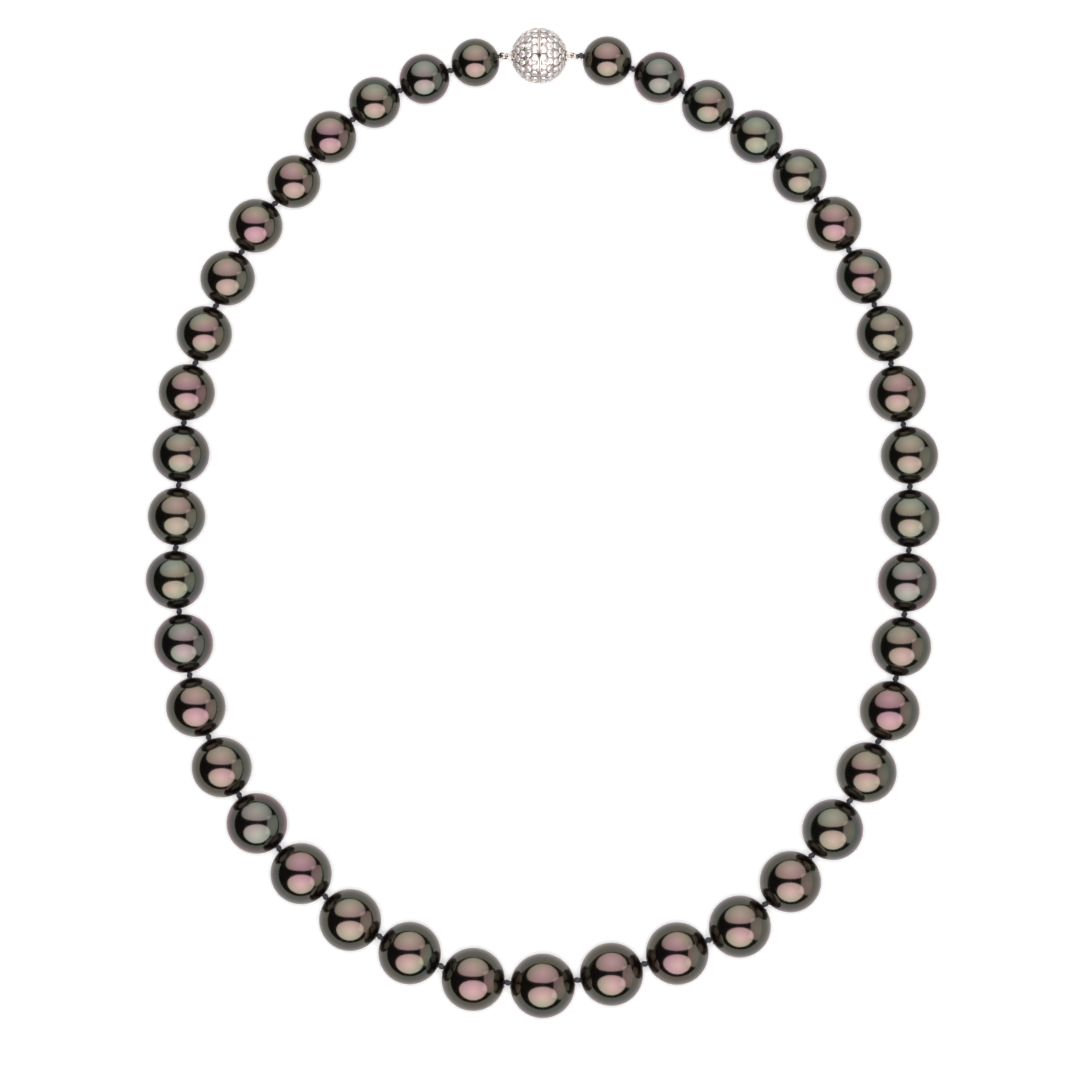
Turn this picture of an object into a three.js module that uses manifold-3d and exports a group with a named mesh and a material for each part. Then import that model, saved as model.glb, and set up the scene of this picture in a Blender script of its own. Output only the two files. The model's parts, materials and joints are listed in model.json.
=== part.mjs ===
// A princess-length strand of round black pearls with a ball clasp, laid flat in an oval.
// Millimetres, +Z up, the clasp towards +Y. Each pearl rests on the plane z = 0.
import * as THREE from 'three';
import Module from 'manifold-3d';
import * as BufferGeometryUtils from 'three/addons/utils/BufferGeometryUtils.js';

// ---- Driving dimensions ------------------------------------------------------------------
// The pearls: graduated from small beside the clasp to large at the middle.
const PEARLS_PER_SIDE = 20;
const CENTRE_PEARL_DIAMETER = 11.05; // the finest pearl, a little over its neighbours
const LARGEST_SIDE_DIAMETER = 10.9; // what each side's sizes grow towards
const END_PEARL_DIAMETER_LEFT = 8.2;
const END_PEARL_DIAMETER_RIGHT = 8.4;
const GRADUATION_CURVE = 0.7; // under 1, the sizes change fastest beside the clasp
const DRILL_HOLE_RADIUS = 0.5;
const PEARL_SIDES = 12; // a multiple of 4, so that a flat facet faces down
const PEARL_BANDS = 7; // odd, so that a band runs round the middle

// The silk: one thread through every pearl, with a knot in every gap.
const THREAD_RADIUS = 0.25;
const THREAD_SIDES = 5;
const KNOT_DIAMETER = 1.15; // wider than the drill hole, so that a knot can't slip in
const KNOT_CLEARANCE = 0.06; // left free at each end of a knot
const LOOP_THREAD_RADIUS = 0.12; // the thread where it is taken singly round a jump ring

// The thread's route, seen from above, from the first left pearl's clasp side round the
// bottom of the oval to the first right pearl's clasp side.
const ROUTE = [
  [-7.5, 79.8], [-20.5, 75.6], [-29, 71.5], [-36.5, 65.5], [-42.5, 58], [-49, 50.5],
  [-53.5, 42], [-57.5, 32.5], [-60.5, 22.5], [-61.5, 12], [-62.5, -10], [-61, -20.5],
  [-59, -31], [-54.5, -41.5], [-48.5, -51], [-41, -59.5], [-32.5, -67.5], [-22.5, -73],
  [-11.5, -77.5], [0.5, -78.5], [12, -76.5], [23, -73], [33.5, -68.5], [42, -61],
  [49, -52.5], [55, -42.5], [59, -32], [61, -21.5], [62, -10.5], [62.5, 11], [60.5, 21.5],
  [58.5, 31.5], [55, 41.5], [50, 50.5], [44, 59], [37, 65.5], [28.5, 71], [20, 76],
  [7, 80],
];

// The ball clasp: two half shells that meet at a seam, on an axis along X.
const CLASP_X = -0.55;
const CLASP_Y = 79.7;
const BALL_RADIUS = 4.7;
const BALL_SIDES = 20; // a multiple of 4, so that a flat facet faces down
const SHELL_WALL = 0.7;
const SEAM_GAP = 0.1;
const COLLAR_RADIUS = 0.9; // the small disc at each pole, where the eyelet is soldered on
const COLLAR_FACE = BALL_RADIUS + 0.05; // how far out along the axis it stands

// The bayonet inside the ball: a post with two lugs, and a plate with a matching keyhole.
const PLATE_THICKNESS = 0.6;
const PLATE_SET_BACK = 0.3; // from the middle of the seam to the plate's face
const PLATE_CLEARANCE = 0.12; // round the plate's edge, filled by solder
const POST_RADIUS = 0.75;
const POST_END = 2.3; // how far the post reaches past the seam
const LUG_WIDTH = 0.8;
const LUG_REACH = 1.7; // from the axis
const LUG_THICKNESS = 0.7;
const LUG_CLEARANCE = 0.3; // behind the keyhole plate
const KEYHOLE_CLEARANCE = 0.2;

// The eyelets on the two poles, and the jump rings linked through them.
const EYELET_WIRE_RADIUS = 0.15;
const EYELET_HALF_WIDTH = 0.56;
const EYELET_REACH = 1.15; // from the collar to the outside of its crown
const RING_WIRE_RADIUS = 0.14;
const RING_RADIUS = 0.68; // to the middle of its wire
const LINK_TILT = 42; // degrees from level to the eyelets' plane; the rings stand square to it
const LINK_CLEARANCE = 0.05;

// ---- Materials ---------------------------------------------------------------------------
// Body colours of the pearls. Most are dark, with an overtone of its own on each.
const OVERTONES = {
  aubergine: 0x4a3b40,
  peacock: 0x384038,
  bronze: 0x4b3f33,
  pistachio: 0x55573f,
  silver: 0x57595a,
};
const PEARL_METALNESS = 0.0;
const PEARL_ROUGHNESS = 0.12;

function pearlMaterial(overtone) {
  return new THREE.MeshStandardMaterial({
    name: `pearl_${overtone}`,
    color: OVERTONES[overtone],
    roughness: PEARL_ROUGHNESS,
    metalness: PEARL_METALNESS,
  });
}

const pearlMaterials = Object.fromEntries(
  Object.keys(OVERTONES).map((overtone) => [overtone, pearlMaterial(overtone)]),
);
const whiteGold = new THREE.MeshStandardMaterial({
  name: 'white_gold',
  color: 0xcfc8bd,
  roughness: 0.2,
  metalness: 1.0,
});
const silk = new THREE.MeshStandardMaterial({
  name: 'black_silk',
  color: 0x241f2b,
  roughness: 0.7,
  metalness: 0.0,
});

// The overtone of each pearl, in stringing order from the left of the clasp to the right.
const OVERTONE_ORDER = [
  'bronze', 'silver', 'bronze', 'aubergine', 'aubergine', 'aubergine', 'bronze',
  'bronze', 'aubergine', 'peacock', 'bronze', 'pistachio', 'silver', 'bronze',
  'aubergine', 'silver', 'aubergine', 'bronze', 'peacock', 'bronze', 'bronze',
  'aubergine', 'aubergine', 'bronze', 'bronze', 'peacock', 'aubergine', 'aubergine',
  'bronze', 'silver', 'peacock', 'bronze', 'bronze', 'peacock', 'peacock',
  'aubergine', 'pistachio', 'pistachio', 'peacock', 'silver', 'bronze',
];

// ---- Solid modelling helpers ---------------------------------------------------------------
const wasm = await Module();
wasm.setup();

// A three.js geometry as a solid that can be cut and joined.
function toSolid(geometry) {
  const bare = geometry.index ? geometry.toNonIndexed() : geometry.clone();
  bare.deleteAttribute('normal');
  bare.deleteAttribute('uv');
  const merged = BufferGeometryUtils.mergeVertices(bare, 1e-5);
  return new wasm.Manifold(new wasm.Mesh({
    numProp: 3,
    vertProperties: new Float32Array(merged.attributes.position.array),
    triVerts: new Uint32Array(merged.index.array),
  }));
}

function toGeometry(solid) {
  const mesh = solid.getMesh();
  const geometry = new THREE.BufferGeometry();
  geometry.setAttribute('position', new THREE.BufferAttribute(mesh.vertProperties, 3));
  geometry.setIndex(new THREE.BufferAttribute(mesh.triVerts, 1));
  geometry.computeVertexNormals();
  return geometry;
}

const join = (...geometries) => toGeometry(
  geometries.map(toSolid).reduce((whole, next) => whole.add(next)),
);
const cut = (geometry, ...tools) => toGeometry(
  tools.map(toSolid).reduce((whole, tool) => whole.subtract(tool), toSolid(geometry)),
);

// A solid of revolution about X. outline is a list of [radius, x], going round the section,
// and radius is measured to the middle of a facet.
function turned(outline, sides) {
  const toCorner = 1 / Math.cos(Math.PI / sides);
  const points = outline.map(([radius, x]) => new THREE.Vector2(radius * toCorner, x));
  const geometry = new THREE.LatheGeometry(points, sides, Math.PI / sides);
  geometry.rotateZ(-Math.PI / 2);
  return geometry;
}

// A path that bends only at its points, so that a tube along it is straight in between.
class Polyline extends THREE.Curve {
  constructor(points) {
    super();
    this.points = points;
  }

  getPoint(t) {
    const place = t * (this.points.length - 1);
    const from = Math.min(Math.floor(place), this.points.length - 2);
    return this.points[from].clone().lerp(this.points[from + 1], place - from);
  }

  getPointAt(t) {
    return this.getPoint(t);
  }

  getTangentAt(t) {
    const half = 0.5 / (this.points.length - 1);
    const ahead = this.getPoint(Math.min(1, t + half));
    return ahead.sub(this.getPoint(Math.max(0, t - half))).normalize();
  }
}

// A tube of the given radius whose rings stand at the path's points.
function tube(points, radius, sides) {
  const section = new THREE.Shape();
  for (let i = 0; i < sides; i += 1) {
    const angle = (2 * Math.PI * i) / sides;
    const x = radius * Math.cos(angle);
    const y = radius * Math.sin(angle);
    if (i === 0) section.moveTo(x, y);
    else section.lineTo(x, y);
  }
  return new THREE.ExtrudeGeometry(section, {
    steps: points.length - 1,
    extrudePath: new Polyline(points),
    curveSegments: 1,
  });
}

function named(name, geometry, material) {
  const mesh = new THREE.Mesh(geometry, material);
  mesh.name = name;
  return mesh;
}

// Turns an object so that its own X axis lies along a direction, and its own Z stays up.
function aim(object, direction) {
  const side = new THREE.Vector3(0, 0, 1).cross(direction).normalize();
  const up = direction.clone().cross(side);
  object.quaternion.setFromRotationMatrix(new THREE.Matrix4().makeBasis(direction, side, up));
}

// ---- The strand --------------------------------------------------------------------------
// Pearl 0 is beside the clasp on the left, and the last one is beside it on the right.
const PEARL_COUNT = 2 * PEARLS_PER_SIDE + 1;

function pearlName(index) {
  const number = PEARLS_PER_SIDE - Math.abs(index - PEARLS_PER_SIDE) + 1;
  if (index === PEARLS_PER_SIDE) return 'pearl_centre';
  const side = index < PEARLS_PER_SIDE ? 'left' : 'right';
  return `pearl_${side}_${String(number).padStart(2, '0')}`;
}

function pearlDiameter(index) {
  if (index === PEARLS_PER_SIDE) return CENTRE_PEARL_DIAMETER;
  const end = index < PEARLS_PER_SIDE ? END_PEARL_DIAMETER_LEFT : END_PEARL_DIAMETER_RIGHT;
  const fromClasp = 1 - Math.abs(index - PEARLS_PER_SIDE) / PEARLS_PER_SIDE;
  return end + (LARGEST_SIDE_DIAMETER - end) * fromClasp ** GRADUATION_CURVE;
}

// Pearls fill the route from end to end, and the knots share what is left between them,
// in proportion to the pearls beside them.
const route = new THREE.CatmullRomCurve3(ROUTE.map(([x, y]) => new THREE.Vector3(x, y, 0)));
route.arcLengthDivisions = 2000;
const diameters = Array.from({ length: PEARL_COUNT }, (_, index) => pearlDiameter(index));
const pearlLength = diameters.reduce((total, diameter) => total + diameter, 0);
const outerHalves = (diameters[0] + diameters[PEARL_COUNT - 1]) / 2;
const knotShare = (route.getLength() - pearlLength) / (pearlLength - outerHalves);

const pearls = [];
let along = 0;
for (const [index, diameter] of diameters.entries()) {
  if (index > 0) along += (knotShare * (diameters[index - 1] + diameter)) / 2;
  const centre = route.getPointAt((along + diameter / 2) / route.getLength());
  centre.z = diameter / 2;
  pearls.push({ name: pearlName(index), radius: diameter / 2, centre });
  along += diameter;
}

// A knot sits between two pearls, in the middle of the gap that their surfaces leave.
const knots = pearls.slice(1).map((pearl, index) => {
  const before = pearls[index];
  const span = pearl.centre.distanceTo(before.centre);
  const gap = span - before.radius - pearl.radius;
  const middle = before.centre.clone().lerp(pearl.centre, (before.radius + gap / 2) / span);
  return { middle, gap };
});

// The ball rests on its lowest facet, and its poles are level with its centre.
const claspCentre = new THREE.Vector3(CLASP_X, CLASP_Y, BALL_RADIUS);

// A jump ring hangs on its eyelet's crown, and dips to bring its far side level with the
// first pearl's drill hole. side is -1 for the left and 1 for the right.
const crownX = COLLAR_FACE + EYELET_REACH - EYELET_WIRE_RADIUS;
const ringHang = EYELET_WIRE_RADIUS + RING_WIRE_RADIUS + LINK_CLEARANCE;
const ringReach = 2 * RING_RADIUS - ringHang;

function ringDip(side) {
  const pearl = side < 0 ? pearls[0] : pearls[PEARL_COUNT - 1];
  return Math.asin((claspCentre.z - pearl.centre.z) / ringReach);
}

// The thread is looped round each jump ring at the side away from the ball.
function threadStart(side) {
  const dip = ringDip(side);
  const offset = new THREE.Vector3(side * (crownX + ringReach * Math.cos(dip)), 0, 0);
  offset.z = -ringReach * Math.sin(dip);
  return offset.add(claspCentre);
}

// A pearl is drilled along the line from the knot before it to the knot after it.
for (const [index, pearl] of pearls.entries()) {
  const before = index === 0 ? threadStart(-1) : knots[index - 1].middle;
  const after = index === PEARL_COUNT - 1 ? threadStart(1) : knots[index].middle;
  pearl.axis = after.clone().sub(before).normalize();
}

// The outline is true along the drill hole, and just clears the sphere all round it.
function pearlGeometry(radius) {
  const holeLatitude = Math.acos(DRILL_HOLE_RADIUS / radius);
  const step = (2 * holeLatitude) / PEARL_BANDS;
  const widen = 1 / Math.cos(step / 2);
  const outline = [];
  for (let band = 0; band <= PEARL_BANDS; band += 1) {
    const latitude = -holeLatitude + band * step;
    const atHole = band === 0 || band === PEARL_BANDS;
    const across = atHole ? DRILL_HOLE_RADIUS : radius * widen * Math.cos(latitude);
    outline.push([across, radius * Math.sin(latitude)]);
  }
  outline.push(outline[0]);
  return turned(outline, PEARL_SIDES);
}

const strand = new THREE.Group();
strand.name = 'strand';
for (const [index, pearl] of pearls.entries()) {
  const material = pearlMaterials[OVERTONE_ORDER[index]];
  const mesh = named(pearl.name, pearlGeometry(pearl.radius), material);
  aim(mesh, pearl.axis.clone().setZ(0).normalize());
  mesh.position.copy(pearl.centre);
  strand.add(mesh);
}

// ---- The silk ----------------------------------------------------------------------------
// A knot is a short barrel, a little shorter than the gap that it fills.
function knotGeometry(centre, direction, gap) {
  const geometry = new THREE.SphereGeometry(0.5, 6, 3);
  geometry.rotateZ(Math.PI / 2);
  geometry.scale(gap - 2 * KNOT_CLEARANCE, KNOT_DIAMETER, KNOT_DIAMETER);
  const holder = new THREE.Object3D();
  aim(holder, direction);
  holder.position.copy(centre);
  holder.updateMatrix();
  return geometry.applyMatrix4(holder.matrix);
}

// The single thread round a jump ring: out of the pearl's hole, round the wire and back.
function loopGeometry(side, pearl) {
  const start = threadStart(side);
  const halfWidth = RING_WIRE_RADIUS + LOOP_THREAD_RADIUS + LINK_CLEARANCE;
  const outward = new THREE.Vector3(side, 0, 0);
  const tilt = THREE.MathUtils.degToRad(LINK_TILT);
  const across = new THREE.Vector3(0, side * Math.cos(tilt), Math.sin(tilt));
  const root = pearl.centre.clone().addScaledVector(pearl.axis, side * (pearl.radius - 0.5));
  const points = [];
  points.push(root.clone().addScaledVector(across, -THREAD_RADIUS / 2));
  for (const degrees of [-90, -45, 0, 45, 90]) {
    const angle = THREE.MathUtils.degToRad(degrees);
    points.push(start.clone()
      .addScaledVector(outward, -halfWidth * Math.cos(angle))
      .addScaledVector(across, halfWidth * Math.sin(angle)));
  }
  points.push(root.clone().addScaledVector(across, THREAD_RADIUS / 2));
  return tube(points, LOOP_THREAD_RADIUS, THREAD_SIDES);
}

const threadPoints = [];
for (const pearl of pearls) {
  const level = pearl.axis.clone().setZ(0).normalize();
  const inHole = pearl.radius - 0.3;
  threadPoints.push(pearl.centre.clone().addScaledVector(level, -inHole));
  threadPoints.push(pearl.centre.clone().addScaledVector(level, inHole));
}
const knotGeometries = knots.map(({ middle, gap }, index) => {
  const direction = pearls[index + 1].centre.clone().sub(pearls[index].centre).normalize();
  return knotGeometry(middle, direction, gap);
});

// On the right one more knot fills the longer gap between the ring and the first pearl.
const lastPearl = pearls[PEARL_COUNT - 1];
const pearlSide = lastPearl.centre.clone().addScaledVector(lastPearl.axis, lastPearl.radius);
const ringSide = threadStart(1).addScaledVector(lastPearl.axis, -RING_WIRE_RADIUS);
const endKnot = knotGeometry(
  pearlSide.clone().lerp(ringSide, 0.5),
  lastPearl.axis,
  pearlSide.distanceTo(ringSide),
);

const threadGeometry = join(
  tube(threadPoints, THREAD_RADIUS, THREAD_SIDES),
  ...knotGeometries,
  endKnot,
  loopGeometry(-1, pearls[0]),
  loopGeometry(1, lastPearl),
);
const thread = named('silk_thread', threadGeometry, silk);

// ---- The clasp -----------------------------------------------------------------------------
// Everything in this group is built about the ball's centre, with the seam at x = 0.
const clasp = new THREE.Group();
clasp.name = 'clasp';
clasp.position.copy(claspCentre);

// A half shell for the +X side: outside from the seam to the collar, and back inside.
function halfShell() {
  const inside = BALL_RADIUS - SHELL_WALL;
  const arcSteps = 5;
  const outline = [[0, COLLAR_FACE], [COLLAR_RADIUS, COLLAR_FACE]];
  const arc = (radius, from, to) => {
    for (let step = 0; step <= arcSteps; step += 1) {
      const angle = from + ((to - from) * step) / arcSteps;
      outline.push([radius * Math.cos(angle), radius * Math.sin(angle)]);
    }
  };
  const atCollar = Math.acos(COLLAR_RADIUS / BALL_RADIUS);
  arc(BALL_RADIUS, atCollar, Math.asin(SEAM_GAP / 2 / BALL_RADIUS));
  arc(inside, Math.asin(SEAM_GAP / 2 / inside), Math.PI / 2 - 0.0001);
  outline[outline.length - 1] = [0, inside];
  return turned(outline.reverse(), BALL_SIDES);
}

// The same geometry on the other side of the seam.
const mirrored = (geometry) => {
  const other = geometry.clone();
  other.rotateZ(Math.PI);
  return other;
};

// A disc or rod along X.
function rod(radius, fromX, toX, sides) {
  const outline = [[0, fromX], [radius, fromX], [radius, toX], [0, toX]];
  return turned(outline, sides);
}

function block(fromX, toX, width, height) {
  const geometry = new THREE.BoxGeometry(toX - fromX, width, height);
  geometry.translate((fromX + toX) / 2, 0, 0);
  return geometry;
}

const plateRadius = Math.sqrt((BALL_RADIUS - SHELL_WALL) ** 2
  - (PLATE_SET_BACK + PLATE_THICKNESS) ** 2) - PLATE_CLEARANCE;
const keyholePlate = cut(
  rod(plateRadius, -PLATE_SET_BACK - PLATE_THICKNESS, -PLATE_SET_BACK, BALL_SIDES),
  rod(POST_RADIUS + KEYHOLE_CLEARANCE, -2, 0, 12),
  block(-2, 0, 2 * (LUG_REACH + KEYHOLE_CLEARANCE), LUG_WIDTH + 2 * KEYHOLE_CLEARANCE),
);

const lugsEnd = -PLATE_SET_BACK - PLATE_THICKNESS - LUG_CLEARANCE;
const bayonetPost = join(
  rod(plateRadius, PLATE_SET_BACK, PLATE_SET_BACK + PLATE_THICKNESS, BALL_SIDES),
  rod(POST_RADIUS, -POST_END, PLATE_SET_BACK + PLATE_THICKNESS / 2, 12),
  block(lugsEnd - LUG_THICKNESS, lugsEnd, 2 * LUG_REACH, LUG_WIDTH),
);

// An eyelet on the +X pole: two legs and a round crown, flat in a tilted plane.
function eyelet() {
  const bendX = crownX - EYELET_HALF_WIDTH;
  const footX = COLLAR_FACE + 0.03;
  const points = [new THREE.Vector3(footX, -EYELET_HALF_WIDTH, 0)];
  for (let degrees = -90; degrees <= 90; degrees += 22.5) {
    const angle = THREE.MathUtils.degToRad(degrees);
    points.push(new THREE.Vector3(
      bendX + EYELET_HALF_WIDTH * Math.cos(angle),
      EYELET_HALF_WIDTH * Math.sin(angle),
      0,
    ));
  }
  points.push(new THREE.Vector3(footX, EYELET_HALF_WIDTH, 0));
  const geometry = tube(points, EYELET_WIRE_RADIUS, 6);
  geometry.rotateX(THREE.MathUtils.degToRad(LINK_TILT));
  return geometry;
}

// A jump ring hooked through the crown, square to the eyelet's plane, and dipped.
function jumpRing(side) {
  const geometry = new THREE.TorusGeometry(RING_RADIUS, RING_WIRE_RADIUS, 6, 16);
  geometry.rotateX(THREE.MathUtils.degToRad(LINK_TILT + 90));
  geometry.translate(RING_RADIUS - ringHang, 0, 0);
  geometry.rotateY(ringDip(side));
  geometry.translate(crownX, 0, 0);
  return geometry;
}

clasp.add(
  named('clasp_shell_left', mirrored(halfShell()), whiteGold),
  named('clasp_shell_right', halfShell(), whiteGold),
  named('clasp_keyhole_plate', keyholePlate, whiteGold),
  named('clasp_bayonet_post', bayonetPost, whiteGold),
  named('eyelet_left', mirrored(eyelet()), whiteGold),
  named('eyelet_right', eyelet(), whiteGold),
  named('jump_ring_left', mirrored(jumpRing(-1)), whiteGold),
  named('jump_ring_right', jumpRing(1), whiteGold),
);

// ---- The whole necklace, with the middle of its base at the origin -------------------------
const necklace = new THREE.Group();
necklace.name = 'pearl_necklace';
necklace.add(strand, thread, clasp);
necklace.updateMatrixWorld(true);
const box = new THREE.Box3().setFromObject(necklace, true);
necklace.position.set(-(box.min.x + box.max.x) / 2, -(box.min.y + box.max.y) / 2, -box.min.z);

export default necklace;
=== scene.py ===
# %% [markdown]
# # A strand of black pearls with a jewelled ball clasp
#
# The necklace lies flat in an oval, seen from straight above. Its imported model gives every place
# and size: forty-one drilled pearls, one knotted silk thread, and a ball clasp that twists and
# pulls apart. This script gives each of them its looks. It starts by loading that model.

# %% Load the imported model
import json
import math

import bpy
from mathutils import Matrix, Vector


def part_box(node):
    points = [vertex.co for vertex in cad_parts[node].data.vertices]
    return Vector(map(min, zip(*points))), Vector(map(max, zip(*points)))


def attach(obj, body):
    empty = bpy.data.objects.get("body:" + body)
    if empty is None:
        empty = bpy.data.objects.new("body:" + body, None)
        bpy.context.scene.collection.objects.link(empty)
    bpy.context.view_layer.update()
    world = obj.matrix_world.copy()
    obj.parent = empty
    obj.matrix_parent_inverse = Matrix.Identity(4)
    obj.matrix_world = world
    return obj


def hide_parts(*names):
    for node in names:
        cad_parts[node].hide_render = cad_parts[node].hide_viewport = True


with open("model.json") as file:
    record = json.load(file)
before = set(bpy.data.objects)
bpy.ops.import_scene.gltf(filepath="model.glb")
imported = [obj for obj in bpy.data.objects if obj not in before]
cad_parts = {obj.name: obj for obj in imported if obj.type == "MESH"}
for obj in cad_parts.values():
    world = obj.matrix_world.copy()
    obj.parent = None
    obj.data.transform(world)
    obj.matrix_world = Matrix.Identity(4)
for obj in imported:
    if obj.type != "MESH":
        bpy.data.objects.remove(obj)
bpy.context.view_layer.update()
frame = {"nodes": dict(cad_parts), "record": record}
MM = 0.001

# %% [markdown]
# ## Where everything is
#
# A pearl's node is a faceted ball that just clears its true sphere, with one facet flat on the
# table, so half its height is the true radius and the middle of its box is the true centre.
# Everything else on the strand is worked out from those forty-one centres: a knot stands in the
# middle of each gap, and a pearl is drilled along the line between the knots on its two sides.

# %% Read the pearls' places from the frame
PER_SIDE = 20
STRAND = (
    [f"pearl_left_{number:02d}" for number in range(1, PER_SIDE + 1)]
    + ["pearl_centre"]
    + [f"pearl_right_{number:02d}" for number in range(PER_SIDE, 0, -1)]
)
pearl_boxes = [[Vector(corner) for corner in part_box(node)] for node in STRAND]
centres = [(low + high) / 2 for low, high in pearl_boxes]
radii = [(high.z - low.z) / 2 for low, high in pearl_boxes]
print("smallest pearl, mm", round(2 * min(radii) / MM, 2), "largest", round(2 * max(radii) / MM, 2))

# %% [markdown]
# The clasp's two half shells meet at a seam, so the ball's centre is between their boxes. Each
# jump ring hangs on its eyelet and dips to the height of the first pearl's drill hole, and the
# thread is looped round the side of the ring that faces the pearl. The clasp's own pieces are
# all worked out for its right half, about the ball's centre, and the left half is the same
# pieces given half a turn.

# %% Read the clasp's place from the frame
left_low, left_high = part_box("clasp_shell_left")
right_low, right_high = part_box("clasp_shell_right")
BALL_CENTRE = Vector(
    (
        (left_high[0] + right_low[0]) / 2,
        (left_low[1] + left_high[1]) / 2,
        (left_low[2] + left_high[2]) / 2,
    )
)
BALL_RADIUS = (left_high[2] - left_low[2]) / 2
COLLAR_FACE = right_high[0] - BALL_CENTRE.x
LEFT, RIGHT = -1, 1
print("ball centre, mm", [round(v / MM, 2) for v in BALL_CENTRE])
print("ball radius, mm", round(BALL_RADIUS / MM, 2))


def on_side(side, point):
    """A point of the right half, given about the ball's centre, moved to where it is."""
    x, y, z = point
    return BALL_CENTRE + Vector((side * x, side * y, z))


# %% The sizes of the links, as in the part
EYELET_WIRE = 0.15 * MM
EYELET_HALF_WIDTH = 0.56 * MM
EYELET_REACH = 1.15 * MM
RING_WIRE = 0.14 * MM
RING_RADIUS = 0.68 * MM
LINK_CLEARANCE = 0.05 * MM
LINK_TILT = math.radians(42)

CROWN = COLLAR_FACE + EYELET_REACH - EYELET_WIRE
RING_HANG = EYELET_WIRE + RING_WIRE + LINK_CLEARANCE
RING_REACH = 2 * RING_RADIUS - RING_HANG
dips = {
    LEFT: math.asin((BALL_CENTRE.z - centres[0].z) / RING_REACH),
    RIGHT: math.asin((BALL_CENTRE.z - centres[-1].z) / RING_REACH),
}
thread_ends = {
    side: on_side(side, (CROWN + RING_REACH * math.cos(dip), 0, -RING_REACH * math.sin(dip)))
    for side, dip in dips.items()
}
print("jump rings dip, degrees", [round(math.degrees(dip), 1) for dip in dips.values()])

# %% Knots and drill holes
gaps = []
knots = []
for index in range(len(STRAND) - 1):
    here, there = centres[index], centres[index + 1]
    span = (there - here).length
    gap = span - radii[index] - radii[index + 1]
    gaps.append(gap)
    knots.append(here.lerp(there, (radii[index] + gap / 2) / span))

stops = [thread_ends[LEFT]] + knots + [thread_ends[RIGHT]]
drill_axes = [(stops[index + 1] - stops[index]).normalized() for index in range(len(STRAND))]
print("gaps between pearls, mm", round(min(gaps) / MM, 2), "to", round(max(gaps) / MM, 2))

# %% [markdown]
# ## Two helpers: colours and nodes
#
# Colours are written as the hex values of a colour picker, and one function turns them to the
# linear values that the renderer works in. A second small function adds a node to any tree with
# its settings and its links, which is all that the materials and the Geometry Nodes need. An
# input can be a plain value, a socket, or a node, which stands for its first output.


# %% Colours and nodes
def linear(hex_code):
    channels = [int(hex_code[place : place + 2], 16) / 255 for place in (1, 3, 5)]
    curved = [c / 12.92 if c <= 0.04045 else ((c + 0.055) / 1.055) ** 2.4 for c in channels]
    return (*curved, 1.0)


def add(tree, kind, inputs=(), **settings):
    """Adds a node. inputs is a list in the sockets' order, or a dictionary by their names."""
    node = tree.nodes.new(kind)
    for name, value in settings.items():
        setattr(node, name, value)
    in_use = [socket for socket in node.inputs if socket.enabled]
    by_name = {socket.name: socket for socket in reversed(in_use)}
    pairs = inputs.items() if isinstance(inputs, dict) else enumerate(inputs)
    for key, value in pairs:
        socket = by_name[key] if isinstance(key, str) else in_use[key]
        if isinstance(value, bpy.types.Node):
            value = next(output for output in value.outputs if output.enabled)
        if isinstance(value, bpy.types.NodeSocket):
            tree.links.new(value, socket)
        else:
            socket.default_value = value
    return node


# %% [markdown]
# ## Camera, table and light
#
# The camera looks straight down through a long lens, from a metre up, so that the pearls at the
# edge of the oval are seen from above as squarely as those in the middle.

# %% Camera
VIEW_WIDTH = 183.74 * MM
CAMERA_HEIGHT = 1.0
SENSOR_MM = 36.0

camera_data = bpy.data.cameras.new("camera")
camera_data.sensor_width = SENSOR_MM
camera_data.lens = SENSOR_MM * CAMERA_HEIGHT / VIEW_WIDTH
camera_data.clip_start = 0.01
camera = bpy.data.objects.new("camera", camera_data)
bpy.context.scene.collection.objects.link(camera)
camera.location = (-0.42 * MM, -2.87 * MM, CAMERA_HEIGHT + 5 * MM)
bpy.context.scene.camera = camera
bpy.context.scene.view_settings.view_transform = "Standard"
print("lens, mm", round(camera_data.lens, 1))

# %% [markdown]
# A pearl is a mirror ball, so whatever stands round it is drawn on it. Two big softboxes lean
# over the table, one from the clasp's side and a brighter one from the other, with a narrow dark
# slit between them overhead, and a weak one stands to the right. They show only in reflections.
# The table is a pure white sheet that glows a little, a painted light with no lamp below it, which
# takes away most of the shadow round the pieces. A wide soft light overhead, which reflections
# don't show, adds the rest.

# %% Softboxes
SPREAD = math.radians(130)  # narrower than a bare lamp, so that a box fades towards its rim
CENTRE_GAIN = 2.12  # how much brighter that spread makes the middle of a box


def softbox(name, tilt, azimuth, distance, width, height, radiance, shape="ELLIPSE"):
    """A box of light facing the table's middle, seen only in reflections.

    tilt is its middle's angle from straight up and azimuth its direction on the table, in
    degrees. width and height are for a distance of one metre.
    """
    data = bpy.data.lights.new(name, "AREA")
    data.shape = shape
    data.size = width * distance
    data.size_y = height * distance
    data.spread = SPREAD
    area = data.size * data.size_y * (math.pi / 4 if shape == "ELLIPSE" else 1)
    data.energy = radiance * math.pi * area / CENTRE_GAIN
    lamp = bpy.data.objects.new(name, data)
    bpy.context.scene.collection.objects.link(lamp)
    up, round_about = math.radians(tilt), math.radians(azimuth)
    direction = Vector(
        (
            math.sin(up) * math.cos(round_about),
            math.sin(up) * math.sin(round_about),
            math.cos(up),
        )
    )
    lamp.location = direction * distance
    lamp.rotation_euler = direction.to_track_quat("Z", "Y").to_euler()
    lamp.visible_diffuse = False
    lamp.visible_camera = False
    return lamp


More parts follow.
